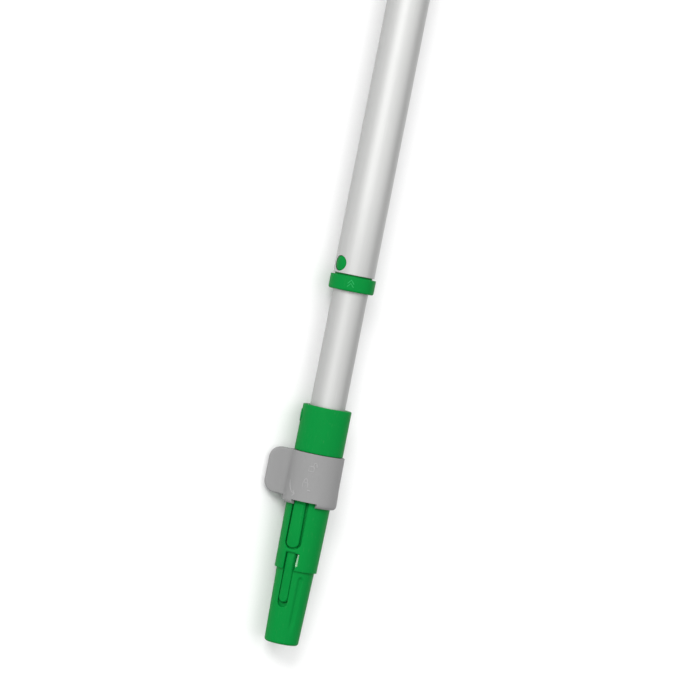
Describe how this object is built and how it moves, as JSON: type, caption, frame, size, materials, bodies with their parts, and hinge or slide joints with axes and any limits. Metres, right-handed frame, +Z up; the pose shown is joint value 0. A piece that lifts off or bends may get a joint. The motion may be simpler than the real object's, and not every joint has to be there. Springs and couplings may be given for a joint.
{
  "type": "window cleaning pole",
  "caption": "Telescopic aluminium pole with a twist lock, a locking tool cone with a grey thumb collar, and a soft hand grip.",
  "frame": {"origin": "centre of the cone's flat tip face, where the tool goes on", "axes": "+X out of the tip along the pole, +Z up as it lies on a floor, with the thumb tab pointing down on the -Y side"},
  "size_m": [0.8893, 0.0466, 0.038],
  "materials": {
    "anodised_tube": "satin silver anodised, fine drawing lines along the tube",
    "green_plastic": "moulded plastic, low gloss",
    "dark_green_plastic": "moulded plastic, low gloss",
    "grey_plastic": "moulded plastic, low gloss",
    "grip_rubber": "matt soft grip",
    "natural_nylon": "uncoloured nylon",
    "black_plastic": "moulded plastic",
    "zinc_steel": "zinc plated",
    "spring_steel": "bright spring steel"
  },
  "bodies": {
    "outer_section": {"outer_tube": "anodised_tube", "end_collar": "green_plastic", "hand_grip": "grip_rubber", "end_cap": "dark_green_plastic"},
    "lock_shoe": {"expander": "natural_nylon", "friction_ring": "natural_nylon"},
    "wedge": {"wedge_nut": "black_plastic"},
    "inner_section": {"inner_tube": "anodised_tube", "spindle_plug": "black_plastic", "spindle": "zinc_steel", "end_washer": "zinc_steel", "end_screw": "zinc_steel", "cone_body": "green_plastic", "collar_ring": "spring_steel", "latch_pin": "spring_steel", "latch_spring": "spring_steel", "button_clip": "spring_steel"},
    "collar": {"lock_collar": "grey_plastic"},
    "rocker": {"latch": "green_plastic"},
    "button": {"release_button": "green_plastic"}
  },
  "joints": [
    {"name": "telescope_slide", "type": "slide", "parent": "outer_section", "child": "lock_shoe", "axis": [1, 0, 0], "range_m": [-0.078, 0.33]},
    {"name": "twist_lock", "type": "hinge", "parent": "lock_shoe", "child": "inner_section", "pos_m": [-0.7, 0, 0], "axis": [1, 0, 0], "range_deg": [0, 180]},
    {"name": "wedge_travel", "type": "slide", "parent": "lock_shoe", "child": "wedge", "axis": [-1, 0, 0], "range_m": [0, 0.0016]},
    {"name": "collar_turn", "type": "hinge", "parent": "inner_section", "child": "collar", "pos_m": [-0.11185, 0, 0], "axis": [-1, 0, 0], "range_deg": [0, 75]},
    {"name": "latch_swing", "type": "hinge", "parent": "inner_section", "child": "rocker", "pos_m": [-0.063, -0.00904, 0.00645], "axis": [0, -0.5807, -0.8141], "range_deg": [0, 2.7], "deforming": ["latch_spring"]},
    {"name": "button_press", "type": "slide", "parent": "inner_section", "child": "button", "axis": [0, 0.848, 0.5299], "range_m": [0, 0.005], "stiffness_N_per_m": 800, "springref_m": -0.002, "deforming": ["button_clip"]}
  ],
  "couplings": [
    {"joint": "wedge_travel", "follows": "twist_lock", "m_per_rad": 0.000477},
    {"joint": "latch_swing", "follows": "collar_turn", "ratio": 0.0344}
  ]
}
